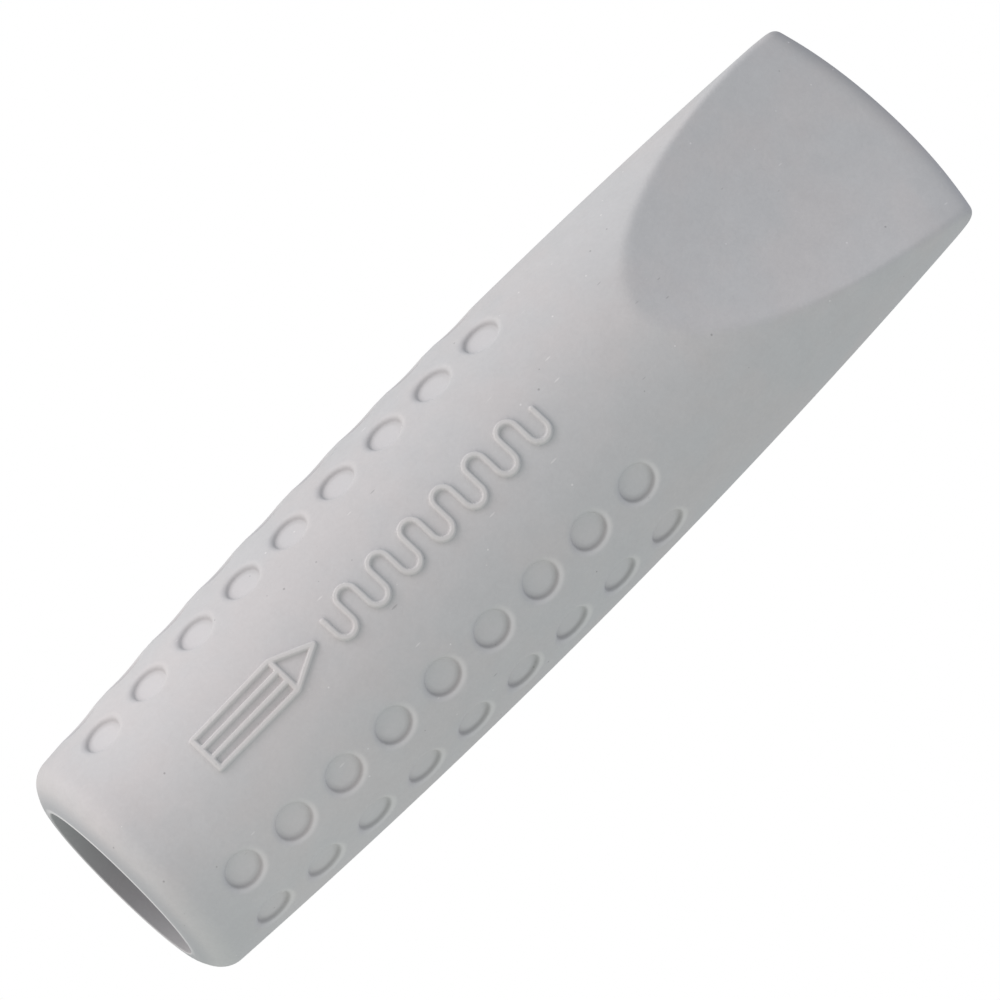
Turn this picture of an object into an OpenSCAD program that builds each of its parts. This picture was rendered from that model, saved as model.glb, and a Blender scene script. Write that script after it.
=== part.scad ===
// Pencil-cap eraser: one piece of moulded rubber. A barrel with a blind pencil
// socket in its mouth, nine rings of small round grip dimples in pairs of rows,
// a raised pictogram on the front and a two-sided chisel tip.
// Origin: centre of the mouth plane. +Z runs along the axis to the tip.
// -Y is the front, the side one chisel flank and the pictogram face.

/* [Body] */
// Largest diameter of the barrel
body_d = 14; // [11:0.1:18]
// Length from the mouth plane to the tip
body_l = 49.3; // [40:0.1:60]
// Height of the largest diameter above the mouth plane
belly_z = 25.2; // [15:0.1:35]
// Radius of the long arc that swells the barrel
swell_r = 355; // [200:5:600]
// Radius of the rounded outer edge of the mouth
mouth_round = 1.5; // [0.3:0.05:2]

/* [Chisel tip] */
// Angle between each flank's middle and the axis, in degrees
flank_angle = 22.3; // [12:0.1:35]
// Radius of the slightly hollow flanks, across the chisel
flank_hollow_r = 52; // [30:1:400]
// Half thickness between the middles of the flanks, close to the tip
flank_half_t = 0.87; // [0.6:0.01:2.5]
// Distance of that place below the tip
flank_drop = 0.9; // [0.4:0.05:2]
// Radius of the rounded nose along the tip
nose_r = 1.3; // [0.6:0.05:2.5]
// Angle between the mid plane and the run-out of the nose, in degrees
nose_angle = 35; // [24:1:45]
// Radius of the bowed tip line, seen from the front
tip_bow_r = 26; // [12:1:60]
// Radius of the two tip corners, seen from the front
corner_r = 0.35; // [0.2:0.05:1.5]

/* [Pencil socket] */
// Bore diameter that grips the pencil
socket_d = 7.6; // [6.5:0.1:9]
// Depth of the socket from the mouth plane
socket_depth = 26; // [15:0.5:30]
// Diameter at the start of the lead-in taper
lead_d = 8.76; // [7:0.02:9.5]
// Depth at which the lead-in taper ends
lead_depth = 3; // [1:0.1:6]
// Rounding of the inner edge of the mouth
lip_round = 0.1; // [0.05:0.05:0.6]
// Rounding at the bottom of the socket
floor_round = 1.5; // [0.5:0.1:3]

/* [Grip dimples] */
// Dimples in each row
dimple_count = 9; // [1:1:14]
// Height of the first dimple
dimple_first_z = 3.8; // [2:0.05:10]
// Distance from dimple to dimple along the axis
dimple_pitch = 3.065; // [2.2:0.005:5]
// Diameter of a dimple floor
dimple_floor_d = 1.68; // [0.8:0.02:2.6]
// Diameter of a dimple at the barrel surface
dimple_mouth_d = 2.14; // [0.8:0.02:3]
// Depth of a dimple
dimple_depth = 0.3; // [0.1:0.02:0.8]
// Pairs of rows around the barrel
row_pairs = 3; // [1:1:5]
// Half the angle between the two rows of a pair, in degrees
row_half_angle = 15; // [9:0.5:25]

/* [Pictogram] */
// Height of the raised lines above the barrel
relief_h = 0.2; // [0.1:0.01:0.4]
// Width of the raised lines
line_w = 0.28; // [0.2:0.01:0.5]
// Height of the blunt end of the pencil outline above the mouth plane
pencil_z = 6; // [4:0.1:12]
// Length of the pencil outline's shaft
shaft_l = 5; // [2:0.1:8]
// Length of the pencil outline's cone
cone_l = 2.2; // [1:0.1:4]
// Width of the pencil outline
pencil_w = 2.15; // [1.4:0.05:3]
// Space between the pencil outline and the scribble
scribble_gap = 0.6; // [0.2:0.1:2]
// Strokes in the scribble
scribble_strokes = 14; // [2:1:18]
// Distance from stroke to stroke
scribble_pitch = 1.02; // [0.8:0.02:2]

/* [Hidden] */

rubber_grey = [0.71, 0.70, 0.69];
// facets of ordinary round features, and of the two very large arcs
round_fn = 96;
fine_fn = 48;
arc_fn = 1440;
// length by which a cutting shape passes through what it cuts
over = 1;

body_r = body_d / 2;
// centre of the swell arc, left of the axis in the profile plane
swell_x = body_r - swell_r;
// centre of the mouth rounding, and the height where it meets the swell arc
mouth_x = swell_x + sqrt(pow(swell_r - mouth_round, 2) - pow(belly_z - mouth_round, 2));
mouth_meet_z = mouth_round - mouth_round * (belly_z - mouth_round) / (swell_r - mouth_round);

flank_z = body_l - flank_drop;

// centre of the tip bow, and the corner circles that touch bow and swell arc
bow_z = body_l - tip_bow_r;
corner_start_z = bow_z + sqrt(pow(tip_bow_r - corner_r, 2) - pow(body_r - corner_r, 2));
corner_x = swell_x + sqrt(pow(swell_r - corner_r, 2) - pow(corner_start_z - belly_z, 2));
corner_z = bow_z + sqrt(pow(tip_bow_r - corner_r, 2) - pow(corner_x, 2));

pair_step = 360 / row_pairs;
shaft_end_z = pencil_z + shaft_l;
point_z = shaft_end_z + cone_l;
scribble_z = point_z + scribble_gap;
bend_r = scribble_pitch / 2;
stroke_l = pencil_w - 2 * bend_r - line_w;

// radius of the barrel at a height
function barrel_r(z) = swell_x + sqrt(pow(swell_r, 2) - pow(z - belly_z, 2));

// half section of the barrel, grown outwards by extra
module barrel_section(extra) {
    intersection() {
        translate([swell_x, belly_z]) circle(r = swell_r + extra, $fn = arc_fn);
        union() {
            translate([0, mouth_meet_z]) square([body_d, body_l]);
            square([mouth_x, body_l]);
            translate([mouth_x, mouth_round]) circle(r = mouth_round, $fn = round_fn);
        }
        translate([0, -over]) square([body_d, body_l + 2 * over]);
    }
}

// solid barrel before the chisel is cut
module barrel() {
    rotate_extrude($fn = 2 * round_fn) barrel_section(0);
}

// the two large cylinders that cut the hollow flanks, front and back
module flank_cuts() {
    for (turn = [0, 180])
        rotate([0, 0, turn])
            translate([0, flank_half_t, flank_z])
                rotate([flank_angle, 0, 0])
                    translate([0, flank_hollow_r, 0])
                        cylinder(r = flank_hollow_r, h = 2 * body_l, center = true, $fn = arc_fn);
}

// half section of the nose disc: rounded rim with run-out flanks
module nose_section() {
    rim_x = tip_bow_r - nose_r;
    meet_x = rim_x + nose_r * sin(nose_angle);
    meet_y = nose_r * cos(nose_angle);
    hub_y = meet_y + meet_x * tan(nose_angle);
    polygon([[0, -hub_y], [meet_x, -meet_y], [meet_x, meet_y], [0, hub_y]]);
    intersection() {
        translate([rim_x, 0]) circle(r = nose_r, $fn = round_fn);
        translate([0, -nose_r]) square([tip_bow_r + over, 2 * nose_r]);
    }
}

// disc whose rounded rim is the bowed nose of the chisel, on a block as wide
// as the whole barrel below the disc's centre
module nose_limit() {
    translate([0, 0, bow_z])
        rotate([90, 0, 0])
            rotate_extrude($fn = 4 * round_fn) nose_section();
    translate([-body_d, -body_d, -over]) cube([2 * body_d, 2 * body_d, bow_z + over]);
}

// front outline that rounds the two tip corners
module corner_trim() {
    rotate([90, 0, 0])
        linear_extrude(height = 2 * body_d, center = true)
            union() {
                translate([-body_d, -over]) square([2 * body_d, corner_z + over]);
                translate([-corner_x, 0]) square([2 * corner_x, body_l + over]);
                for (side = [-1, 1])
                    translate([side * corner_x, corner_z]) circle(r = corner_r, $fn = round_fn);
            }
}

// half section of the pencil socket: the two circles round its lip and floor
module socket_section() {
    lip_x = lead_d / 2;
    grip_x = socket_d / 2;
    straight_end = socket_depth - floor_round;
    difference() {
        polygon([[0, -over], [lip_x + lip_round, -over], [lip_x + lip_round, lip_round],
                 [lip_x, lip_round], [grip_x, lead_depth], [grip_x, straight_end],
                 [0, straight_end]]);
        translate([lip_x + lip_round, lip_round]) circle(r = lip_round, $fn = fine_fn);
    }
    translate([0, straight_end - over])
        square([grip_x - floor_round, floor_round + over]);
    intersection() {
        translate([grip_x - floor_round, straight_end]) circle(r = floor_round, $fn = fine_fn);
        translate([0, straight_end - over]) square([grip_x, floor_round + over]);
    }
}

// the pencil socket with its tapered and rounded mouth
module pencil_socket() {
    rotate_extrude($fn = round_fn) socket_section();
}

// one dimple, cut towards the axis from the barrel surface at height z
module dimple(z) {
    slope = (dimple_mouth_d - dimple_floor_d) / 2 / dimple_depth;
    reach = over / 2;
    translate([barrel_r(z) - dimple_depth, 0, z])
        rotate([0, 90, 0])
            cylinder(h = dimple_depth + reach, r1 = dimple_floor_d / 2,
                     r2 = dimple_mouth_d / 2 + slope * reach, $fn = fine_fn);
}

// all rows of dimples: one pair of rows is at the back
module grip_dimples() {
    for (pair = [0 : row_pairs - 1])
        for (side = [-1, 1])
            rotate([0, 0, 90 + pair * pair_step + side * row_half_angle])
                for (i = [0 : dimple_count - 1])
                    dimple(dimple_first_z + i * dimple_pitch);
}

// outline of a pencil, pointing along +Y: shaft with two inner lines, and a cone
module pencil_outline() {
    half_w = pencil_w / 2;
    inner_x = (pencil_w - line_w) / 6;
    slant_w = line_w / cos(atan(half_w / cone_l));
    cone_base_z = shaft_end_z + line_w / 2;
    cone_half_w = half_w * (point_z - cone_base_z) / cone_l - slant_w;
    difference() {
        polygon([[-half_w, pencil_z], [half_w, pencil_z], [half_w, shaft_end_z],
                 [0, point_z], [-half_w, shaft_end_z]]);
        translate([-half_w + line_w, pencil_z + line_w])
            square([pencil_w - 2 * line_w, shaft_l - 1.5 * line_w]);
        polygon([[-cone_half_w, cone_base_z], [cone_half_w, cone_base_z],
                 [0, cone_base_z + cone_half_w * cone_l / half_w]]);
    }
    for (side = [-1, 1])
        translate([side * inner_x - line_w / 2, pencil_z]) square([line_w, shaft_l]);
}

// scribble of straight strokes joined by round bends, running along +Y
module scribble() {
    for (i = [0 : scribble_strokes - 1])
        translate([-stroke_l / 2, scribble_z + i * scribble_pitch])
            square([stroke_l, line_w]);
    for (i = [0 : scribble_strokes - 2])
        translate([0, scribble_z + i * scribble_pitch + bend_r + line_w / 2])
            rotate(i % 2 == 0 ? 0 : 180)
                translate([stroke_l / 2, 0])
                    difference() {
                        circle(r = bend_r + line_w / 2, $fn = fine_fn);
                        circle(r = bend_r - line_w / 2, $fn = fine_fn);
                        translate([-body_d, -body_d]) square([body_d, 2 * body_d]);
                    }
}

// the raised pictogram, standing proud of the barrel on its front
module pictogram() {
    depth = body_r / 2;
    intersection() {
        rotate([90, 0, 0])
            translate([0, 0, depth])
                linear_extrude(height = body_r) {
                    pencil_outline();
                    scribble();
                }
        rotate_extrude($fn = 2 * round_fn) barrel_section(relief_h);
    }
}

// the whole eraser cap
module eraser_cap() {
    color(rubber_grey)
        difference() {
            union() {
                difference() {
                    intersection() {
                        barrel();
                        nose_limit();
                        corner_trim();
                    }
                    flank_cuts();
                }
                pictogram();
            }
            pencil_socket();
            grip_dimples();
        }
}

eraser_cap();
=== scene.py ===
import math

import bmesh
import bpy
import numpy as np
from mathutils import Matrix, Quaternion, Vector
from mathutils.geometry import delaunay_2d_cdt


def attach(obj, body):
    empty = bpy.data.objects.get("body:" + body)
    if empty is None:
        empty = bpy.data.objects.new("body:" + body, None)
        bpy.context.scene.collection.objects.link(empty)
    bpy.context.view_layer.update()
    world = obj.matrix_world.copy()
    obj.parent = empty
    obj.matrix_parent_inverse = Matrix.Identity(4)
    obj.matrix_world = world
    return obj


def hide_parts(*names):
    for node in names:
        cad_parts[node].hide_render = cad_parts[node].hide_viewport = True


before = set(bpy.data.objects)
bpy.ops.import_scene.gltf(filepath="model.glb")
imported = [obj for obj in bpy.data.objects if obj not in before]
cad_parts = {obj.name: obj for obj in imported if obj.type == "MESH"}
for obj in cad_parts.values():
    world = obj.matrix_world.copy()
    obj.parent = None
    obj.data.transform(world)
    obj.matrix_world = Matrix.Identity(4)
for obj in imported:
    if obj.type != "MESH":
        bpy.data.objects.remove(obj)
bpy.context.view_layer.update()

# The cap stands on its mouth, tip up, front towards -Y. All shape numbers are in
# millimetres; vertices are turned into metres when the mesh is made.
MM = 0.001

# Barrel: largest radius and its height, radius of the long arc that swells it, and
# radius of the rounded outer edge of the mouth
BODY_R = 7.0
BELLY_Z = 25.2
SWELL_R = 355.0
MOUTH_ROUND = 1.5

# Chisel tip
TIP_Z = 49.3
BOW_R = 26.0
FLANK_ANGLE = math.radians(22.3)
FLANK_HALF_T = 0.87
FLANK_DROP = 0.9
HOLLOW_R = 52.0
NOSE_R = 1.3
NOSE_RUNOUT = math.radians(35.0)
NOSE_SOFT = 0.6
# softness of the edge between flank and barrel: more of it towards the tip, growing
# from a height over a length
EDGE_SOFT = 0.12
TIP_EDGE_SOFT = 0.36
SOFTER_FROM_Z = 42.0
SOFTER_OVER = 6.0

# Socket
LEAD_R = 4.38
GRIP_R = 3.8
LEAD_DEPTH = 3.0
SOCKET_DEPTH = 26.0
FLOOR_ROUND = 1.5
FLOOR_RING_R = 1.2
LIP_ROUND = 0.1
LIP_R = LEAD_R + LIP_ROUND
# the end face of the mouth rises from the lip outwards, over a width
RIM_RISE = 0.14
RIM_RISE_W = 0.9

# Grip dimples: rows by their angle from the front, positive to the right
DIMPLE_ROWS = [-165.0, -75.0, -45.0, 45.0, 75.0, 165.0]
DIMPLE_COUNT = 9
DIMPLE_FIRST_Z = 3.8
DIMPLE_PITCH = 3.065
DIMPLE_DEPTH = 0.3
# rings of one dimple: distance from its centre, height above the barrel, flatness
# (1 follows the flat floor, 0 the barrel), points, and how strong the highlight painted on the
# bevel is there
DIMPLE_RINGS = [
    (0.31, -0.300, 1.0, 12, 0.0),
    (0.60, -0.300, 1.0, 24, 0.0),
    (0.77, -0.299, 1.0, 48, 0.0),
    (0.83, -0.290, 1.0, 48, 0.0),
    (0.868, -0.262, 0.9, 48, 0.0),
    (0.89, -0.225, 0.8, 48, 0.0),
    (0.912, -0.180, 0.65, 48, 0.0),
    (0.936, -0.140, 0.5, 48, 0.0),
    (0.968, -0.108, 0.4, 48, 0.6),
    (1.01, -0.077, 0.3, 48, 1.0),
    (1.055, -0.048, 0.2, 48, 1.0),
    (1.107, -0.023, 0.1, 48, 0.7),
    (1.163, -0.008, 0.0, 48, 0.3),
    (1.23, 0.0, 0.0, 48, 0.0),
    (1.32, 0.0, 0.0, 48, 0.0),
]
DIMPLE_R = DIMPLE_RINGS[-1][0]
# painted light and shade on a dimple: how strong the sheen painted on its floor is, and the
# strength of the shade painted on its wall, which reaches inwards and outwards from a radius and
# spreads round the outward side
WALL_SHADE_R = 0.88
LEFT_DIMPLE_LIGHT_AND_SHADE = {"floor": 1.0, "painted_shade": 0.62, "inwards": 0.30, "outwards": 0.18, "spread": 0.9}
RIGHT_DIMPLE_LIGHT_AND_SHADE = {"floor": 0.3, "painted_shade": 1.0, "inwards": 0.20, "outwards": 0.09, "spread": 0.5}
# highlight painted on the bevel: even in the left rows; in the right rows it swings about a
# middle value, is strongest in one direction and never falls below a least value
LEFT_BEVEL_HIGHLIGHT = 0.14
RIGHT_BEVEL_HIGHLIGHT = {"middle": 0.45, "swing": 0.75, "towards": 0.5, "least": 0.15}

# Pictogram
RELIEF_H = 0.2
LINE_W = 0.28
LINE_SOFT = 0.055
PENCIL_Z = 6.0
SHAFT_L = 5.0
CONE_L = 2.2
PENCIL_W = 2.15
SCRIBBLE_GAP = 0.6
SCRIBBLE_STROKES = 14
SCRIBBLE_PITCH = 1.02
BEND_STEPS = 16
# height at which the pictogram has its true width on the unrolled barrel
TRUE_WIDTH_Z = 16.0
# shade painted in the creases beside the raised lines: strength and half width
CREASE_SHADE = 0.4
CREASE_W = 0.06

# Mesh of the barrel: columns round it, the height where it meets the rows of the
# chisel, the radius at which it is unrolled, points up the seam and background spacing
COLUMNS = 240
JOIN_Z = 30.0
PLANE_R = 6.8
SEAM_POINTS = 70
GRID_STEP = 0.42
# least distance of background points from the rings, seam, dimples and lines
RING_CLEAR = 0.2
SEAM_CLEAR = 0.25
DIMPLE_CLEAR = 0.2
LINE_CLEAR = 0.62
# mesh points beside the raised lines: distances from the centre line, their spacing
# along it, points round each end, how much nearer they may lie to another line, and the
# least gaps between points near and far
LINE_OFFSETS = [0.0, 0.04, 0.075, 0.1, 0.125, 0.15, 0.175, 0.21, 0.28, 0.4]
LINE_STEP = 0.12
END_POINTS = 12
LINE_SLACK = 0.006
NEAR_GAP = 0.034
FAR_GAP = 0.08
FAR_FROM = 0.25
CELL = 0.05
# points closer than this are one point
MERGE_GAP = 1e-6

# Mesh of the chisel: rows over the nose, growth and largest size of the gap below
NOSE_ROWS = 15
NOSE_SPAN = math.radians(70)
ROW_GROWTH = 1.05
ROW_GAP = 0.27
# a point inside, from which rays find the front outline, and a distance past it
HUB_Z = 40.0
RAY_COUNT = 6001
RAY_REACH = 25.0

# Rings of the mouth and socket: steps over each stretch of the profile
MOUTH_STEPS = 14
LIP_STEPS = 6
TAPER_STEPS = 6
BORE_STEPS = 22
FLOOR_STEPS = 8

# Where light and shade are painted: margin round the socket's wall; share of the shade
# painted in the socket that is lost at the sides, and the depth over which that fades out;
# half width, soft edge and greatest height of the highlight painted on the lip, its strength at
# the sides and its change towards the back; greatest height of the shade painted on the end
# face, the stretch over which it fades and its gap from the socket; depth below the barrel and
# distance to the right of full light painted on a flank
WALL_MARGIN = 0.02
SOCKET_SHADE_SIDE_LOSS = 0.7
SOCKET_SHADE_SIDE_FADE = 2.0
LIP_HIGHLIGHT_W = 0.20
LIP_HIGHLIGHT_SOFT = 0.1
LIP_HIGHLIGHT_Z = 0.09
LIP_HIGHLIGHT_SIDE = 0.2
LIP_HIGHLIGHT_SWING = 0.9
MOUTH_SHADE_Z = 0.45
MOUTH_SHADE_FADE = 0.35
MOUTH_SHADE_GAP = 0.05
FLANK_LIGHT_CUT = 0.4
FLANK_LIGHT_REACH = 5.0

# Colours, linear
RUBBER_WARM = (0.609, 0.602, 0.598, 1)
RUBBER_COOL = (0.591, 0.599, 0.600, 1)
# tint of the light painted on the barrel above the mouth
BAND_LIGHT_TINT = (1.0, 0.97, 0.95, 1)
# grey of the shade painted in creases, on dimple walls and along the tip line
PAINTED_SHADE_GREY = (0.16, 0.16, 0.16, 1)
PALE_SPECK = (0.92, 0.91, 0.90, 1)
DARK_SPECK = (0.22, 0.22, 0.22, 1)
TABLE_PAINT = (0.93, 0.92, 0.82, 1)
WHITE = (1, 1, 1, 1)
# colours painted over the cap by vertex attribute, all painted light and shade except the paler
# tops of the raised lines: (vertex attribute, strength, colour)
MARKS = [
    # painted sheen on the dimple floors, strongest in the left rows
    ("recess", 0.55, (0.65, 0.65, 0.655, 1)),
    ("relief", 0.35, (0.74, 0.73, 0.70, 1)),
    # painted highlight on the dimples' bevels
    ("rim", 0.40, (0.80, 0.80, 0.80, 1)),
    # painted shade on the dimple walls and in the creases beside the raised lines
    ("edge", 0.42, PAINTED_SHADE_GREY),
    # painted shade in the socket
    ("inside", 0.72, (0.178, 0.19, 0.203, 1)),
    # painted shade on the end face and the lowest part of the mouth rounding
    ("mouth", 0.6, (0.395, 0.42, 0.44, 1)),
    # painted highlight on the lip
    ("lip", 0.85, (0.93, 0.93, 0.93, 1)),
    # painted light on the flanks, towards the right
    ("flank", 0.06, (1.0, 0.95, 0.95, 1)),
]
# light painted in a band of the barrel above the mouth: strength, and heights between which it
# comes in and fades out
BAND_LIGHT = 0.08
BAND_IN = (1.8, 4.5)
BAND_OUT = (6.0, 17.0)
# shade painted along the tip line: width, strength at the left and at the right, and how far
# from the middle these are reached
TIP_SHADE_W = 1.1
LEFT_TIP_SHADE = 0.30
RIGHT_TIP_SHADE = LEFT_TIP_SHADE * 0.35
TIP_SHADE_REACH = 6.0
# noises of the rubber: (cells per metre, detail, roughness), the range of the clouds
# over which one grey turns into the other, what the other two do to the brightness, and
# their bumps as (strength, height in metres)
CLOUDS = (260.0, 3.0, 0.55)
BLOTCHES = (900.0, 3.0, 0.6)
GRAIN = (5200.0, 2.0, 0.6)
CLOUD_RANGE = (0.35, 0.65)
BLOTCH_TONE = 0.10
GRAIN_TONE = 0.09
BLOTCH_BUMP = (0.35, 0.00006)
GRAIN_BUMP = (0.5, 0.00002)
# roughness over a range of the blotches, and strength of the reflections
BLOTCH_RANGE = (0.3, 0.7)
ROUGHNESS = (0.56, 0.7)
SPECULAR = 0.35
# speckles: (cells per metre, stretch, least and most size in cells, share, strength)
SPECKLES = [
    (1300.0, (1.0, 1.0, 1.0), 0.05, 0.10, 0.35, 0.50),
    (900.0, (1.6, 1.0, 0.35), 0.05, 0.08, 0.45, 0.35),
]
# direction in which they stretch, share of a speck that is full strength, and number of
# dark ones beside the pale ones
SPECK_TURN = (0.0, math.radians(45.0), 0.0)
SPECK_CORE = 0.4
DARK_SHARE = 0.6

# Camera: it looks at the cap's middle from a little to the right of its front and from
# below. Distances are in metres here.
CENTRE = Vector((0.0, 0.0, TIP_Z / 2 * MM))
TURN = math.radians(11.5)
TILT = math.radians(-8.17)
ROLL = math.radians(90 - 45.31)
CAMERA_DISTANCE = 0.520
AIM_DROP = 0.36 * MM
SENSOR_MM = 36.0
LENS_MM = 417.8

# Light: (name, direction in degrees, distance, size, power, colour) of each softbox,
# and the colours of the dome
SOFTBOXES = [
    ("key", (-80.0, -12.0), 0.35, 0.28, 0.41, (0.975, 0.977, 1.0)),
    ("fill", (-45.0, -30.0), 0.2, 0.15, 0.07, (1.0, 0.69, 0.75)),
]
DOME_HORIZON = (0.674, 0.691, 0.678, 1)
DOME_ZENITH = (0.41, 0.415, 0.495, 1)

# Table, in metres
TABLE_HALF = 1.5
TABLE_GLOW = 0.4


def barrel_radius(z):
    return BODY_R - SWELL_R + np.sqrt(SWELL_R**2 - (z - BELLY_Z) ** 2)


def column_turns():
    """Angle of each column round the barrel, starting at the back."""
    return np.arange(COLUMNS) / COLUMNS * 2 * math.pi - math.pi


def soft_max(a, b, width):
    near = np.maximum(width - np.abs(a - b), 0.0) / width
    return np.maximum(a, b) + near * near * width / 4


def tip_field(x, y, z):
    """Negative inside the solid: barrel, hollow flanks and bowed nose, softly joined."""
    depth = np.abs(y)
    side = np.hypot(x, depth) - barrel_radius(z)
    half_t = FLANK_HALF_T + (TIP_Z - FLANK_DROP - z) * math.tan(FLANK_ANGLE)
    flank = HOLLOW_R - np.hypot(x, HOLLOW_R - (depth - half_t) * math.cos(FLANK_ANGLE))
    beyond = np.hypot(x, z - (TIP_Z - BOW_R)) - (BOW_R - NOSE_R)
    runout = depth * math.cos(NOSE_RUNOUT) + beyond * math.sin(NOSE_RUNOUT) - NOSE_R
    rim = np.hypot(depth, beyond) - NOSE_R
    nose = np.where(beyond < depth * math.tan(NOSE_RUNOUT), runout, rim)
    share = np.clip((z - SOFTER_FROM_Z) / SOFTER_OVER, 0.0, 1.0)
    soft = EDGE_SOFT + (TIP_EDGE_SOFT - EDGE_SOFT) * share
    return soft_max(soft_max(flank, nose, NOSE_SOFT), side, soft)


def bisect(inside, outside, test, rounds=44):
    """Value between inside and outside where test turns from negative to positive."""
    low = inside.copy()
    high = outside.copy()
    for _ in range(rounds):
        middle = (low + high) / 2
        hit = test(middle) < 0
        low = np.where(hit, middle, low)
        high = np.where(hit, high, middle)
    return (low + high) / 2


def path_lengths(path):
    steps = np.hypot(*np.diff(path, axis=0).T)
    return np.concatenate([[0.0], np.cumsum(steps)])


def resample(path, lengths, targets):
    return np.stack([np.interp(targets, lengths, path[:, k]) for k in range(2)], axis=1)


def front_outline():
    """Right half of the chisel's front outline, as (x, z) paths.

    The first runs up the side from the join, the second along the tip line from its
    middle outwards.
    """
    start = math.atan2(JOIN_Z - HUB_Z, float(barrel_radius(JOIN_Z)))
    angle = np.linspace(start, math.pi / 2, RAY_COUNT)
    reach = bisect(
        np.zeros_like(angle),
        np.full_like(angle, RAY_REACH),
        lambda r: tip_field(r * np.cos(angle), 0.0, HUB_Z + r * np.sin(angle)),
    )
    outline = np.stack([reach * np.cos(angle), HUB_Z + reach * np.sin(angle)], axis=1)
    step = np.diff(outline, axis=0)
    corner = int(np.argmax(-step[:, 0] >= step[:, 1]))
    return outline[: corner + 1], outline[corner:][::-1]


def row_shares():
    """Place of each row on the way up from the join: fine over the nose, coarser below."""
    turns = np.linspace(0, NOSE_SPAN, NOSE_ROWS)
    drops = [NOSE_R * (1 - math.cos(a)) for a in turns]
    total = TIP_Z - JOIN_Z
    gap = drops[-1] - drops[-2]
    while drops[-1] + gap * 1.5 < total:
        gap = min(gap * ROW_GROWTH, ROW_GAP)
        drops.append(drops[-1] + gap)
    drops.append(total)
    return 1.0 - np.array(drops[::-1]) / total


def tip_rows():
    """Rows of vertices from the join up to the tip line, each COLUMNS long."""
    side_path, top_path = front_outline()
    side_len = path_lengths(side_path)
    top_len = path_lengths(top_path)
    share = row_shares()
    turn = column_turns()
    across = np.sin(turn)

    # flat grid, blended from the four sides of the front outline
    bottom_r = float(barrel_radius(JOIN_Z))
    bottom = np.stack([bottom_r * across, np.full(COLUMNS, JOIN_Z)], axis=1)
    top = resample(top_path, top_len, np.abs(across) * top_len[-1])
    top[:, 0] *= np.sign(across)
    right = resample(side_path, side_len, share * side_len[-1])
    left = right * np.array([-1.0, 1.0])
    u = (across + 1)[None, :, None] / 2
    v = share[:, None, None]
    flat = (1 - v) * bottom[None] + v * top[None]
    flat = flat + (1 - u) * left[:, None] + u * right[:, None]
    flat = flat - ((1 - u) * (1 - v) * left[0] + u * (1 - v) * right[0])
    flat = flat - ((1 - u) * v * left[-1] + u * v * right[-1])

    # its points pushed onto the surface, to the front and to the back
    x = flat[..., 0]
    z = flat[..., 1]
    y = bisect(np.zeros_like(x), np.full_like(x, BODY_R + 1), lambda d: tip_field(x, d, z))
    y[-1] = 0.0
    y[:, np.abs(across) > 1 - 1e-12] = 0.0
    back = np.cos(turn) < 0
    y = np.where(back[None, :], y, -y)
    return np.stack([x, y, z], axis=2)


def pictogram_lines():
    """Centre lines of the raised pencil and scribble, as (across, height) polylines."""
    half = (PENCIL_W - LINE_W) / 2
    base = PENCIL_Z + LINE_W / 2
    shaft_end = PENCIL_Z + SHAFT_L
    point = shaft_end + CONE_L - LINE_W
    lines = [
        [(-half, shaft_end), (-half, base), (half, base), (half, shaft_end)],
        [(-half, shaft_end), (half, shaft_end)],
        [(-half, shaft_end), (0.0, point), (half, shaft_end)],
        [(-half / 3, base), (-half / 3, shaft_end)],
        [(half / 3, base), (half / 3, shaft_end)],
    ]
    bend = SCRIBBLE_PITCH / 2
    reach = half - bend
    z = shaft_end + CONE_L + SCRIBBLE_GAP + LINE_W / 2
    side = -1
    path = [(side * reach, z)]
    for i in range(SCRIBBLE_STROKES):
        side = -side
        path.append((side * reach, z + i * SCRIBBLE_PITCH))
        if i + 1 < SCRIBBLE_STROKES:
            centre_z = z + i * SCRIBBLE_PITCH + bend
            for k in range(1, BEND_STEPS):
                a = -math.pi / 2 + math.pi * k / BEND_STEPS
                path.append((side * (reach + bend * math.cos(a)), centre_z + bend * math.sin(a)))
            path.append((side * reach, z + (i + 1) * SCRIBBLE_PITCH))
    lines.append(path)
    return lines


def segments(lines):
    starts = []
    ends = []
    for line in lines:
        for a, b in zip(line[:-1], line[1:]):
            starts.append(a)
            ends.append(b)
    return np.array(starts), np.array(ends)


def line_distance(points, starts, ends):
    """Distance of each point from the nearest centre line."""
    best = np.full(len(points), 1e9)
    for a, b in zip(starts, ends):
        d = b - a
        t = np.clip(((points - a) @ d) / (d @ d), 0.0, 1.0)
        gap = points - (a + t[:, None] * d)
        best = np.minimum(best, np.hypot(gap[:, 0], gap[:, 1]))
    return best


def relief_height(distance):
    t = np.clip((distance - LINE_W / 2 + LINE_SOFT) / (2 * LINE_SOFT), 0.0, 1.0)
    return RELIEF_H * (1 - t * t * (3 - 2 * t))


def offset_points(starts, ends, offset):
    """Points at one distance from the centre lines: on both sides and round the ends."""
    found = []
    for a, b in zip(starts, ends):
        d = b - a
        length = math.hypot(*d)
        n = max(1, round(length / LINE_STEP))
        t = (np.arange(n) + 0.5) / n
        normal = np.array([-d[1], d[0]]) / length
        spine = a + t[:, None] * d
        found.append(spine + offset * normal)
        if offset:
            found.append(spine - offset * normal)
    if offset:
        around = np.arange(END_POINTS) / END_POINTS * 2 * math.pi
        ring = offset * np.stack([np.cos(around), np.sin(around)], axis=1)
        for corner in np.unique(np.round(np.vstack([starts, ends]), 6), axis=0):
            found.append(corner + ring)
    found = np.vstack(found)
    # points beside one line can lie too close to the next
    return found[line_distance(found, starts, ends) > offset - LINE_SLACK]


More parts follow.
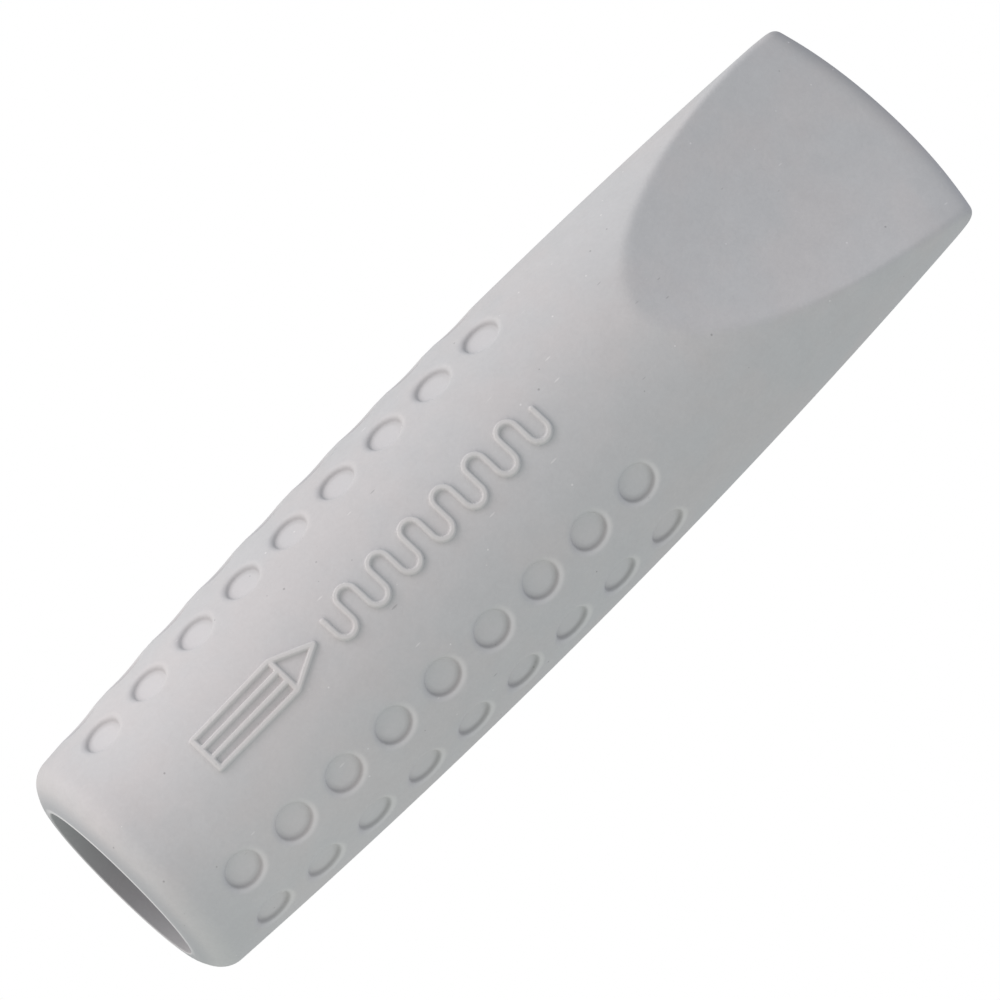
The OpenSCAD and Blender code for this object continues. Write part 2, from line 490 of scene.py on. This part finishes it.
def pictogram_points(starts, ends):
    """Points beside the lines, so that mesh edges follow the strokes.

    A point too close to an earlier one is left out; earlier ones are looked up by cell.
    """
    kept = []
    cells = {}
    for offset in LINE_OFFSETS:
        least = FAR_GAP if offset > FAR_FROM else NEAR_GAP
        for p in offset_points(starts, ends, offset):
            column = int(p[0] // CELL)
            row = int(p[1] // CELL)
            close = any(
                math.hypot(p[0] - q[0], p[1] - q[1]) < least
                for i in range(column - 2, column + 3)
                for j in range(row - 2, row + 3)
                for q in cells.get((i, j), ())
            )
            if not close:
                cells.setdefault((column, row), []).append(p)
                kept.append(p)
    return np.array(kept)


class Patch:
    """Points of the unrolled barrel, with their height above it and the light and shade painted
    there.
    """

    def __init__(self):
        self.count = 0
        self.points = []
        self.values = {"height": [], "recess": [], "edge": [], "rim": []}

    def add(self, points, **values):
        """Add points and return the number of the first. A value left out is zero."""
        first = self.count
        self.count += len(points)
        self.points.append(points)
        for name, groups in self.values.items():
            groups.append(np.ones(len(points)) * values.get(name, 0.0))
        return first

    def join(self):
        self.points = np.vstack(self.points)
        self.values = {name: np.concatenate(groups) for name, groups in self.values.items()}


def wall_shade(distance, t, angle, marks):
    """Shade painted on a dimple's wall, most of it on the side away from the cap's front."""
    outward = np.cos(t) * math.copysign(1.0, angle)
    reach = marks["outwards"] if distance > WALL_SHADE_R else marks["inwards"]
    share = max(0.0, 1 - abs((distance - WALL_SHADE_R) / reach))
    return marks["painted_shade"] * share * np.clip(marks["spread"] + outward, 0.0, 1.0)


def bevel_highlight(t, angle):
    """Highlight painted round a dimple's bevel."""
    if angle < 0:
        return LEFT_BEVEL_HIGHLIGHT
    swing = RIGHT_BEVEL_HIGHLIGHT["swing"] * np.cos(t - RIGHT_BEVEL_HIGHLIGHT["towards"])
    return np.clip(RIGHT_BEVEL_HIGHLIGHT["middle"] + swing, RIGHT_BEVEL_HIGHLIGHT["least"], 1.0)


def add_dimples(patch):
    """Add the dimples' rings. Returns the dimples' centres and the rings' edges."""
    centres = []
    edges = []
    for angle in [math.radians(row) for row in DIMPLE_ROWS]:
        marks = LEFT_DIMPLE_LIGHT_AND_SHADE if angle < 0 else RIGHT_DIMPLE_LIGHT_AND_SHADE
        for z in [DIMPLE_FIRST_Z + i * DIMPLE_PITCH for i in range(DIMPLE_COUNT)]:
            radius = float(barrel_radius(z))
            centre = (angle * PLANE_R, z)
            centres.append(centre)
            # painted sheen on the floor, painted shade on the wall and a painted highlight on
            # the bevel, for the centre and each ring
            patch.add(np.array([centre]), height=-DIMPLE_DEPTH, recess=marks["floor"])
            for k, (distance, level, flatness, count, bevel) in enumerate(DIMPLE_RINGS):
                t = (np.arange(count) + (k % 2) / 2) / count * 2 * math.pi
                swing = distance * np.cos(t) / radius
                lift = (radius - DIMPLE_DEPTH) * (1 / np.cos(swing) - 1)
                first = patch.add(
                    np.stack([(angle + swing) * PLANE_R, z + distance * np.sin(t)], axis=1),
                    height=level + flatness * lift,
                    recess=marks["floor"] * min(1.0, max(0.0, -level / DIMPLE_DEPTH)),
                    edge=wall_shade(distance, t, angle, marks),
                    rim=bevel * bevel_highlight(t, angle),
                )
                edges += [(first + i, first + (i + 1) % count) for i in range(count)]
    return centres, edges


def add_pictogram(patch, starts, ends, squeeze):
    points = pictogram_points(starts, ends)
    away = line_distance(points, starts, ends)
    # shade painted in the creases beside the lines
    crease = np.abs(away - LINE_W / 2 - LINE_SOFT * 0.8)
    painted_shade = CREASE_SHADE * np.clip(1 - crease / CREASE_W, 0.0, 1.0)
    patch.add(points * squeeze, height=relief_height(away), edge=painted_shade)


def add_background(patch, low_z, half, centres, starts, ends, squeeze):
    """Add points on a triangular grid, kept clear of everything on the patch so far."""
    rows = int((JOIN_Z - low_z) / (GRID_STEP * math.sqrt(3) / 2)) + 1
    count = int(2 * half / GRID_STEP)
    spots = []
    for j in range(1, rows):
        z = low_z + j * (JOIN_Z - low_z) / rows
        a = (np.arange(count) + 0.5 * (j % 2) + 0.25) / count * 2 * half - half
        spots.append(np.stack([a, np.full(count, z)], axis=1))
    spots = np.vstack(spots)
    clear = np.minimum(spots[:, 1] - low_z, JOIN_Z - spots[:, 1]) > RING_CLEAR
    clear &= half - np.abs(spots[:, 0]) > SEAM_CLEAR
    for centre in centres:
        gap = np.hypot(spots[:, 0] - centre[0], spots[:, 1] - centre[1])
        clear &= gap > DIMPLE_R + DIMPLE_CLEAR
    clear &= line_distance(spots / squeeze, starts, ends) > LINE_CLEAR
    patch.add(spots[clear])


def barrel_patch():
    """The unrolled outer barrel from the mouth rounding to the join, and its faces.

    Its first points are the ring at the mouth rounding, then the ring at the join, each
    with the seam's point at both ends, then the seam's left and right columns.
    """
    low_z = MOUTH_ROUND - MOUTH_ROUND * (BELLY_Z - MOUTH_ROUND) / (SWELL_R - MOUTH_ROUND)
    half = math.pi * PLANE_R
    ring = (np.arange(COLUMNS + 1) / COLUMNS * 2 - 1) * half
    seam = np.linspace(low_z, JOIN_Z, SEAM_POINTS)[1:-1]
    patch = Patch()
    for z in (low_z, JOIN_Z):
        patch.add(np.stack([ring, np.full_like(ring, z)], axis=1))
    for side in (-half, half):
        patch.add(np.stack([np.full_like(seam, side), seam], axis=1))
    centres, edges = add_dimples(patch)
    starts, ends = segments(pictogram_lines())
    squeeze = np.array([PLANE_R / barrel_radius(TRUE_WIDTH_Z), 1.0])
    add_pictogram(patch, starts, ends, squeeze)
    add_background(patch, low_z, half, centres, starts, ends, squeeze)
    patch.join()
    made = delaunay_2d_cdt([Vector(p) for p in patch.points], edges, [], 0, MERGE_GAP)
    source = [ids[0] for ids in made[3]]
    # the right end of the rings and of the seam is the left one again
    same = {COLUMNS: 0, 2 * COLUMNS + 1: COLUMNS + 1}
    first = 2 * (COLUMNS + 1)
    for i in range(len(seam)):
        same[first + len(seam) + i] = first + i
    faces = [tuple(same.get(source[i], source[i]) for i in face) for face in made[2]]
    return patch, faces


def on_barrel(plane, height):
    """Unrolled points rolled up again, and moved off the barrel along its normal."""
    turn = plane[:, 0] / PLANE_R
    z = plane[:, 1]
    radius = barrel_radius(z)
    slope = -(z - BELLY_Z) / np.sqrt(SWELL_R**2 - (z - BELLY_Z) ** 2)
    unit = 1 / np.sqrt(1 + slope**2)
    out = radius + height * unit
    up = z - height * slope * unit
    return np.stack([out * np.sin(turn), -out * np.cos(turn), up], axis=1)


def socket_profile():
    """(radius, z) points from the mouth rounding round the rim and up the bore."""
    run = SWELL_R - MOUTH_ROUND
    drop = BELLY_Z - MOUTH_ROUND
    centre_r = BODY_R - SWELL_R + math.sqrt(run**2 - drop**2)
    first = math.asin(drop / run)
    points = []
    for k in range(1, MOUTH_STEPS + 1):
        a = first + (math.pi / 2 - first) * k / MOUTH_STEPS
        r = centre_r + MOUTH_ROUND * math.cos(a)
        points.append((r, MOUTH_ROUND - MOUTH_ROUND * math.sin(a)))
    points.append(((points[-1][0] + LIP_R) / 2, 0.0))
    for k in range(LIP_STEPS + 1):
        a = math.pi / 2 * k / LIP_STEPS
        points.append((LIP_R - LIP_ROUND * math.sin(a), LIP_ROUND - LIP_ROUND * math.cos(a)))
    for k in range(1, TAPER_STEPS + 1):
        t = k / TAPER_STEPS
        z = LIP_ROUND + (LEAD_DEPTH - LIP_ROUND) * t
        points.append((LEAD_R + (GRIP_R - LEAD_R) * t, z))
    straight = SOCKET_DEPTH - FLOOR_ROUND
    for k in range(1, BORE_STEPS + 1):
        points.append((GRIP_R, LEAD_DEPTH + (straight - LEAD_DEPTH) * k / BORE_STEPS))
    for k in range(1, FLOOR_STEPS + 1):
        a = math.pi / 2 * k / FLOOR_STEPS
        r = GRIP_R - FLOOR_ROUND * (1 - math.cos(a))
        points.append((r, straight + FLOOR_ROUND * math.sin(a)))
    points.append((FLOOR_RING_R, SOCKET_DEPTH))
    return [(r, z + rim_rise(r, z)) for r, z in points]


def rim_rise(r, z):
    """How far the end face is raised, fading out up the mouth rounding."""
    outwards = min(1.0, max(0.0, (r - LIP_R) / RIM_RISE_W))
    return RIM_RISE * max(0.0, 1 - z / MOUTH_ROUND) * outwards


def add_vertices(verts, points):
    """Add an array of points to the vertices and return their numbers."""
    first = sum(len(group) for group in verts)
    verts.append(points)
    return range(first, first + len(points))


def ring_faces(lower, upper):
    """Faces between two rings of COLUMNS vertices."""
    faces = []
    for i in range(COLUMNS):
        k = (i + 1) % COLUMNS
        faces.append((lower[i], lower[k], upper[k], upper[i]))
    return faces


def add_chisel(verts, faces, join_ring):
    """Add the rows above the join, closed along the tip line."""
    rows = tip_rows()
    below = join_ring
    for row in rows[1:-1]:
        here = add_vertices(verts, row)
        faces += ring_faces(below, here)
        below = here
    # the back's columns meet the front's vertices on the tip line
    quarter = COLUMNS // 4
    line = add_vertices(verts, rows[-1][quarter : 3 * quarter + 1])
    crest = []
    for i in range(COLUMNS):
        front = i if quarter <= i <= 3 * quarter else (2 * quarter - i) % COLUMNS
        crest.append(line[front - quarter])
    faces += ring_faces(below, crest)


def add_socket(verts, faces, low_ring):
    """Add the rings of the mouth rounding, end face and socket."""
    turn = column_turns()
    above = low_ring
    for radius, z in socket_profile():
        ring = [radius * np.sin(turn), -radius * np.cos(turn), np.full(COLUMNS, z)]
        here = add_vertices(verts, np.stack(ring, axis=1))
        faces += ring_faces(here, above)
        above = here
    (centre,) = add_vertices(verts, np.array([[0.0, 0.0, SOCKET_DEPTH]]))
    for i in range(COLUMNS):
        faces.append((above[i], centre, above[(i + 1) % COLUMNS]))


def place_painted_light(points):
    """Painted light and shade that follow from where a vertex is."""
    x, y, z = points.T
    radius = np.hypot(x, y)
    # shade painted in the socket, less so at the sides of its mouth
    within = (radius < LEAD_R + WALL_MARGIN) & (z < SOCKET_DEPTH + WALL_MARGIN)
    shallow = np.clip(1 - z / SOCKET_SHADE_SIDE_FADE, 0.0, 1.0)
    inside = within * (1 - SOCKET_SHADE_SIDE_LOSS * shallow * (x / LEAD_R) ** 2)
    # a highlight painted as a narrow ring on the lip, towards the front
    lip = np.clip((LIP_HIGHLIGHT_W - np.abs(radius - LIP_R)) / LIP_HIGHLIGHT_SOFT, 0.0, 1.0)
    lip = lip * (z < LIP_HIGHLIGHT_Z) * np.clip(LIP_HIGHLIGHT_SIDE - LIP_HIGHLIGHT_SWING * y / LEAD_R, 0.0, 1.0)
    # shade painted on the end face and the lowest part of the mouth rounding
    mouth = np.clip((MOUTH_SHADE_Z - z) / MOUTH_SHADE_FADE, 0.0, 1.0)
    mouth = mouth * (radius > LEAD_R + MOUTH_SHADE_GAP)
    # light painted on the flanks, which lie inside the barrel's radius, from their middle to the
    # right
    cut = np.clip((barrel_radius(z) - radius) / FLANK_LIGHT_CUT, 0.0, 1.0) * (z > JOIN_Z)
    flank = cut * np.clip(x / FLANK_LIGHT_REACH, 0.0, 1.0)
    return {"inside": inside, "lip": lip, "mouth": mouth, "flank": flank}


def make_mesh(name, points, faces, marks):
    mesh = bpy.data.meshes.new(name)
    mesh.from_pydata((points * MM).tolist(), [], faces)
    for mark, values in marks.items():
        layer = mesh.attributes.new(mark, "FLOAT", "POINT")
        layer.data.foreach_set("value", np.clip(values, 0.0, 1.0).astype(np.float32))
    # drop the seam vertices that no face uses
    shape = bmesh.new()
    shape.from_mesh(mesh)
    loose = [v for v in shape.verts if not v.link_faces]
    bmesh.ops.delete(shape, geom=loose, context="VERTS")
    bmesh.ops.recalc_face_normals(shape, faces=shape.faces)
    for face in shape.faces:
        face.smooth = True
    shape.to_mesh(mesh)
    shape.free()
    return mesh


def add_object(name, data):
    item = bpy.data.objects.new(name, data)
    bpy.context.scene.collection.objects.link(item)
    return item


def build_cap():
    patch, faces = barrel_patch()
    verts = [on_barrel(patch.points, patch.values["height"])]
    add_chisel(verts, faces, range(COLUMNS + 1, 2 * COLUMNS + 1))
    add_socket(verts, faces, range(COLUMNS))
    points = np.vstack(verts)
    marks = {name: patch.values[name] for name in ("recess", "edge", "rim")}
    marks["relief"] = patch.values["height"] / RELIEF_H
    pad = np.zeros(len(points) - patch.count)
    marks = {name: np.concatenate([values, pad]) for name, values in marks.items()}
    marks.update(place_painted_light(points))
    return add_object("rubber_cap", make_mesh("rubber_cap", points, faces, marks))


def new_material(name):
    material = bpy.data.materials.new(name)
    material.use_nodes = True
    material.node_tree.nodes.clear()
    return material, material.node_tree.nodes, material.node_tree.links


class Shader:
    """Small helper that adds nodes to one material and links them."""

    def __init__(self, name):
        self.material, self.nodes, self.links = new_material(name)

    def add(self, kind, **settings):
        node = self.nodes.new(kind)
        for key, value in settings.items():
            setattr(node, key, value)
        return node

    def feed(self, socket, value):
        if hasattr(value, "is_output"):
            self.links.new(value, socket)
        else:
            socket.default_value = value

    def math(self, operation, a, b=0.0, c=0.0):
        node = self.add("ShaderNodeMath", operation=operation)
        for socket, value in zip(node.inputs, (a, b, c)):
            self.feed(socket, value)
        return node.outputs[0]

    def noise(self, place, scale, detail, roughness):
        node = self.add("ShaderNodeTexNoise")
        self.feed(node.inputs["Vector"], place)
        self.feed(node.inputs["Scale"], scale)
        self.feed(node.inputs["Detail"], detail)
        self.feed(node.inputs["Roughness"], roughness)
        return node.outputs["Fac"]

    def ramp(self, value, low, high, from_value=0.0, to_value=1.0):
        node = self.add("ShaderNodeMapRange", clamp=True, interpolation_type="SMOOTHSTEP")
        for socket, item in zip(node.inputs, (value, low, high, from_value, to_value)):
            self.feed(socket, item)
        return node.outputs[0]

    def mix(self, factor, a, b, blend="MIX"):
        node = self.add("ShaderNodeMix", data_type="RGBA", blend_type=blend)
        self.feed(node.inputs["Factor"], factor)
        colours = [s for s in node.inputs if s.type == "RGBA"]
        self.feed(colours[0], a)
        self.feed(colours[1], b)
        return [s for s in node.outputs if s.type == "RGBA"][0]

    def mark(self, name):
        node = self.add("ShaderNodeAttribute", attribute_name=name, attribute_type="GEOMETRY")
        return node.outputs["Fac"]

    def bump(self, height, strength, distance):
        node = self.add("ShaderNodeBump")
        self.feed(node.inputs["Strength"], strength)
        self.feed(node.inputs["Distance"], distance)
        self.feed(node.inputs["Height"], height)
        return node


def mottled_grey(shader, place, blotch, grain):
    """Two close greys in clouds, with blotches and fine grain in their brightness."""
    clouds = shader.ramp(shader.noise(place, *CLOUDS), *CLOUD_RANGE)
    colour = shader.mix(clouds, RUBBER_WARM, RUBBER_COOL)
    tone = shader.math("MULTIPLY_ADD", shader.math("SUBTRACT", blotch, 0.5), BLOTCH_TONE, 1.0)
    tone = shader.math("MULTIPLY_ADD", shader.math("SUBTRACT", grain, 0.5), GRAIN_TONE, tone)
    grey = shader.add("ShaderNodeCombineColor")
    for socket in grey.inputs:
        shader.feed(socket, tone)
    return shader.mix(1.0, colour, grey.outputs[0], "MULTIPLY")


def marked(shader, colour):
    """Painted light and shade on the dimples, beside the raised lines, on the mouth, socket, lip
    and flanks, and paler tops of the raised lines.
    """
    for name, strength, tint in MARKS:
        factor = shader.math("MULTIPLY", shader.mark(name), strength)
        colour = shader.mix(factor, colour, tint)
    return colour


def lit_band(shader, colour, z):
    """Light painted on the barrel above the mouth, fading out towards its middle."""
    come = shader.ramp(z, BAND_IN[0] * MM, BAND_IN[1] * MM)
    fade = shader.ramp(z, BAND_OUT[0] * MM, BAND_OUT[1] * MM, 1.0, 0.0)
    band = shader.math("MULTIPLY", come, fade)
    return shader.mix(shader.math("MULTIPLY", band, BAND_LIGHT), colour, BAND_LIGHT_TINT)


def shaded_tip(shader, colour, x, z):
    """Shade painted along the working edge, more so on its left."""
    rise = shader.math("SUBTRACT", z, (TIP_Z - BOW_R) * MM)
    square = shader.math("MULTIPLY_ADD", rise, rise, shader.math("MULTIPLY", x, x))
    depth = shader.math("SUBTRACT", BOW_R * MM, shader.math("SQRT", square))
    tip_shade = shader.ramp(depth, 0.0, TIP_SHADE_W * MM, 1.0, 0.0)
    strength = shader.ramp(x, -TIP_SHADE_REACH * MM, TIP_SHADE_REACH * MM, LEFT_TIP_SHADE, RIGHT_TIP_SHADE)
    return shader.mix(shader.math("MULTIPLY", tip_shade, strength), colour, PAINTED_SHADE_GREY)


def dusted(shader, colour, place):
    """Sparse dust specks and short scuffs, pale and dark."""
    for scale, stretch, least, most, share, strength in SPECKLES:
        spread = shader.add("ShaderNodeMapping")
        shader.feed(spread.inputs["Vector"], place)
        spread.inputs["Rotation"].default_value = SPECK_TURN
        spread.inputs["Scale"].default_value = stretch
        cells = shader.add("ShaderNodeTexVoronoi")
        shader.feed(cells.inputs["Vector"], spread.outputs[0])
        shader.feed(cells.inputs["Scale"], scale)
        pick = shader.add("ShaderNodeSeparateColor")
        shader.feed(pick.inputs[0], cells.outputs["Color"])
        size = shader.math("MULTIPLY_ADD", pick.outputs[1], most - least, least)
        core = shader.math("MULTIPLY", size, SPECK_CORE)
        faint = shader.ramp(cells.outputs["Distance"], core, size, 1.0, 0.0)
        faint = shader.math("MULTIPLY", faint, strength)
        is_pale = shader.math("GREATER_THAN", pick.outputs[0], 1 - share)
        is_dark = shader.math("LESS_THAN", pick.outputs[0], share * DARK_SHARE)
        colour = shader.mix(shader.math("MULTIPLY", faint, is_pale), colour, PALE_SPECK)
        colour = shader.mix(shader.math("MULTIPLY", faint, is_dark), colour, DARK_SPECK)
    return colour


def rubber_material():
    """Matt grey moulded rubber."""
    shader = Shader("moulded_rubber")
    place = shader.add("ShaderNodeTexCoord").outputs["Object"]
    blotch = shader.noise(place, *BLOTCHES)
    grain = shader.noise(place, *GRAIN)
    parts = shader.add("ShaderNodeSeparateXYZ")
    shader.feed(parts.inputs[0], place)
    x = parts.outputs["X"]
    z = parts.outputs["Z"]

    colour = mottled_grey(shader, place, blotch, grain)
    # light and shade painted into the colour: on the marks, in a band above the mouth and along
    # the tip
    colour = marked(shader, colour)
    colour = lit_band(shader, colour, z)
    colour = shaded_tip(shader, colour, x, z)
    colour = dusted(shader, colour, place)

    surface = shader.add("ShaderNodeBsdfPrincipled")
    shader.feed(surface.inputs["Base Color"], colour)
    roughness = shader.ramp(blotch, *BLOTCH_RANGE, *ROUGHNESS)
    shader.feed(surface.inputs["Roughness"], roughness)
    shader.feed(surface.inputs["Specular IOR Level"], SPECULAR)
    swell = shader.bump(blotch, *BLOTCH_BUMP)
    skin = shader.bump(grain, *GRAIN_BUMP)
    shader.feed(skin.inputs["Normal"], swell.outputs["Normal"])
    shader.feed(surface.inputs["Normal"], skin.outputs["Normal"])
    output = shader.add("ShaderNodeOutputMaterial")
    shader.feed(output.inputs["Surface"], surface.outputs["BSDF"])
    return shader.material


# Directions as the main camera sees them: ALONG runs from mouth to tip in the
# picture, ACROSS to its right with the tip held up, TOWARDS to the camera.
ACROSS = Vector((math.cos(TURN), math.sin(TURN), 0.0))
TOWARDS = Vector(
    (math.sin(TURN) * math.cos(TILT), -math.cos(TURN) * math.cos(TILT), math.sin(TILT))
)
ALONG = TOWARDS.cross(ACROSS)


def place_camera():
    data = bpy.data.cameras.new("camera")
    data.sensor_width = SENSOR_MM
    data.lens = LENS_MM
    data.clip_start = 0.01
    data.clip_end = 20.0
    camera = add_object("camera", data)
    camera.location = CENTRE - ALONG * AIM_DROP + TOWARDS * CAMERA_DISTANCE
    camera.rotation_mode = "QUATERNION"
    upright = (-TOWARDS).to_track_quat("-Z", "Y")
    camera.rotation_quaternion = upright @ Quaternion((0, 0, 1), ROLL)
    bpy.context.scene.camera = camera


def direction(across_deg, along_deg):
    """A direction round the cap's axis from the camera, then up towards the tip."""
    a = math.radians(across_deg)
    b = math.radians(along_deg)
    return (ACROSS * math.sin(a) + TOWARDS * math.cos(a)) * math.cos(b) + ALONG * math.sin(b)


def softbox(name, towards, distance, size, power, colour):
    data = bpy.data.lights.new(name, "AREA")
    data.shape = "RECTANGLE"
    data.size = size
    data.size_y = size
    data.energy = power
    data.color = colour
    light = add_object(name, data)
    light.location = CENTRE + towards * distance
    light.rotation_mode = "QUATERNION"
    light.rotation_quaternion = (-towards).to_track_quat("-Z", "Y")
    light.visible_camera = False


def studio_world():
    """Even white for the camera; for the cap, a soft dome darker and bluer overhead."""
    world = bpy.data.worlds.new("studio")
    world.use_nodes = True
    bpy.context.scene.world = world
    nodes = world.node_tree.nodes
    links = world.node_tree.links
    nodes.clear()
    output = nodes.new("ShaderNodeOutputWorld")
    seen = nodes.new("ShaderNodeBackground")
    seen.inputs["Color"].default_value = WHITE
    dome = nodes.new("ShaderNodeBackground")
    place = nodes.new("ShaderNodeTexCoord")
    axes = nodes.new("ShaderNodeSeparateXYZ")
    upward = nodes.new("ShaderNodeMath")
    upward.operation = "MAXIMUM"
    upward.inputs[1].default_value = 0.0
    shade = nodes.new("ShaderNodeMix")
    shade.data_type = "RGBA"
    tints = [s for s in shade.inputs if s.type == "RGBA"]
    tints[0].default_value = DOME_HORIZON
    tints[1].default_value = DOME_ZENITH
    rays = nodes.new("ShaderNodeLightPath")
    mix = nodes.new("ShaderNodeMixShader")
    links.new(place.outputs["Generated"], axes.inputs[0])
    links.new(axes.outputs["Z"], upward.inputs[0])
    links.new(upward.outputs["Value"], shade.inputs["Factor"])
    links.new([s for s in shade.outputs if s.type == "RGBA"][0], dome.inputs["Color"])
    links.new(rays.outputs["Is Camera Ray"], mix.inputs["Fac"])
    links.new(dome.outputs["Background"], mix.inputs[1])
    links.new(seen.outputs["Background"], mix.inputs[2])
    links.new(mix.outputs["Shader"], output.inputs["Surface"])


def table_material():
    """Pale matt paint with a little glow of its own. It is see-through from below."""
    material, nodes, links = new_material("pale_table")
    output = nodes.new("ShaderNodeOutputMaterial")
    matt = nodes.new("ShaderNodeBsdfDiffuse")
    matt.inputs["Color"].default_value = TABLE_PAINT
    glow = nodes.new("ShaderNodeEmission")
    glow.inputs["Color"].default_value = WHITE
    glow.inputs["Strength"].default_value = TABLE_GLOW
    pale = nodes.new("ShaderNodeAddShader")
    clear = nodes.new("ShaderNodeBsdfTransparent")
    side = nodes.new("ShaderNodeNewGeometry")
    mix = nodes.new("ShaderNodeMixShader")
    links.new(side.outputs["Backfacing"], mix.inputs["Fac"])
    links.new(matt.outputs["BSDF"], pale.inputs[0])
    links.new(glow.outputs["Emission"], pale.inputs[1])
    links.new(pale.outputs["Shader"], mix.inputs[1])
    links.new(clear.outputs["BSDF"], mix.inputs[2])
    links.new(mix.outputs["Shader"], output.inputs["Surface"])
    return material


def floor():
    """Table under the cap. It casts no light or shadow on the cap, and the main camera,
    which looks up from below its level, sees through it.
    """
    mesh = bpy.data.meshes.new("table")
    size = TABLE_HALF
    corners = [(-size, -size, 0), (size, -size, 0), (size, size, 0), (-size, size, 0)]
    mesh.from_pydata(corners, [], [(0, 1, 2, 3)])
    mesh.materials.append(table_material())
    table = add_object("table", mesh)
    table.visible_diffuse = False
    table.visible_glossy = False
    table.visible_transmission = False
    table.visible_shadow = False


cap = build_cap()
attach(cap, "root")
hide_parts("eraser_cap")
cap.data.materials.append(rubber_material())

floor()
place_camera()
studio_world()
for name, angles, distance, size, power, colour in SOFTBOXES:
    softbox(name, direction(*angles), distance, size, power, colour)
bpy.context.scene.view_settings.view_transform = "Standard"
